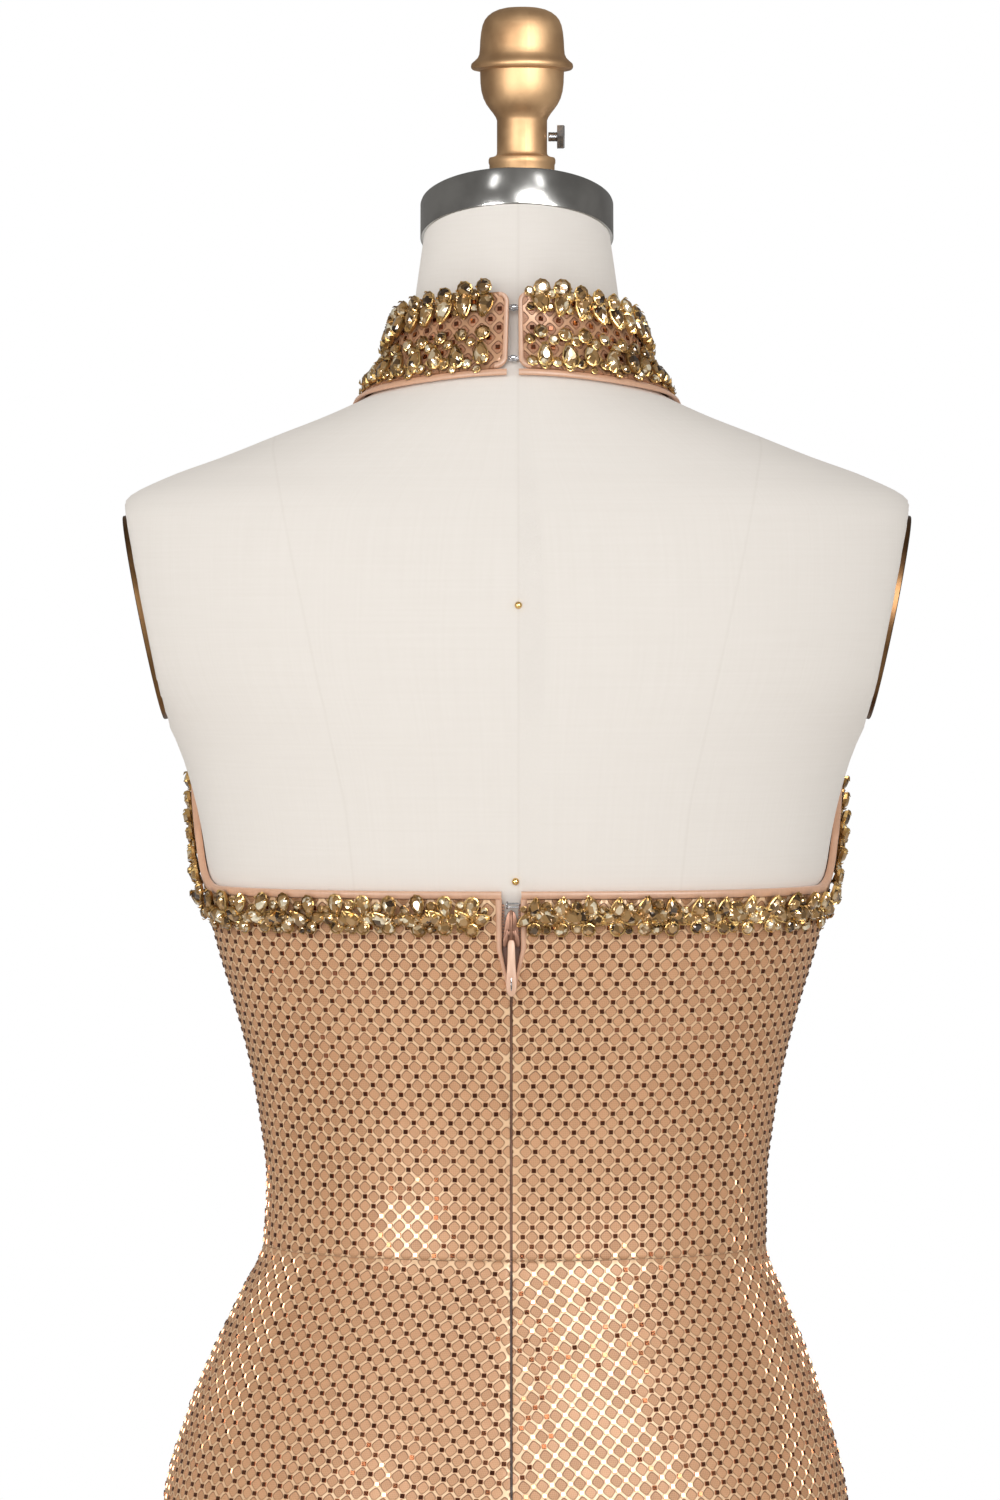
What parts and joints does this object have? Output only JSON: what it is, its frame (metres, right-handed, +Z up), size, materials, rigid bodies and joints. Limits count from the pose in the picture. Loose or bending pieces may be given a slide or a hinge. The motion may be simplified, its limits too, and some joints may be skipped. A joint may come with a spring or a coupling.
{
  "type": "halter evening gown on a dress form",
  "caption": "Floor-length halter evening gown of nude mesh with a beaded collar, low beaded back and zip, on a linen dress form with steel neck plate and finial.",
  "frame": {"origin": "centre of the flat underside of the stand base, on the floor", "axes": "+Z up, front of the gown faces -Y, back with the zip faces +Y, wearer's left is +X"},
  "size_m": [0.497, 0.4794, 1.6744],
  "materials": {
    "mesh_cloth": "nude enamel mesh cloth with small mirror studs",
    "satin": "peach satin",
    "crystal": "champagne crystals in gold settings on mesh",
    "linen": "plain cream linen",
    "steel": "polished steel",
    "cast_gold": "matt cast gold-coloured metal",
    "brass": "bright brass",
    "dark_metal": "dark enamelled cast iron",
    "enamel": "nude enamel",
    "zip_tape": "woven zip tape",
    "hook_metal": "nickel plated"
  },
  "bodies": {
    "gown_and_form": {"form_body": "linen", "arm_plate_left": "linen", "arm_plate_right": "linen", "arm_rim_left": "brass", "arm_rim_right": "brass", "form_pin_upper": "brass", "form_pin_lower": "brass", "neck_plate": "steel", "finial": "cast_gold", "finial_bolt": "steel", "stand_base": "dark_metal", "stand_pole": "steel", "skirt_front": "mesh_cloth", "skirt_back_left": "mesh_cloth", "skirt_back_right": "mesh_cloth", "bodice_front": "mesh_cloth", "bodice_back_left": "mesh_cloth", "bodice_back_right": "mesh_cloth", "edge_binding_left": "satin", "edge_binding_right": "satin", "collar_binding_left": "satin", "collar_binding_right": "satin", "beaded_trim_left": "crystal", "beaded_trim_right": "crystal", "collar": "crystal", "zip_chain": "zip_tape", "zip_slider": "enamel", "back_hook": "hook_metal", "collar_hook_upper": "hook_metal", "collar_hook_lower": "hook_metal"},
    "pull": {"zip_pull": "enamel"}
  },
  "joints": [
    {"name": "zip_pull", "type": "hinge", "parent": "gown_and_form", "child": "pull", "pos_m": [0.0029, 0.09725, 1.222], "axis": [1, 0, 0], "range_deg": [0, 150]}
  ]
}
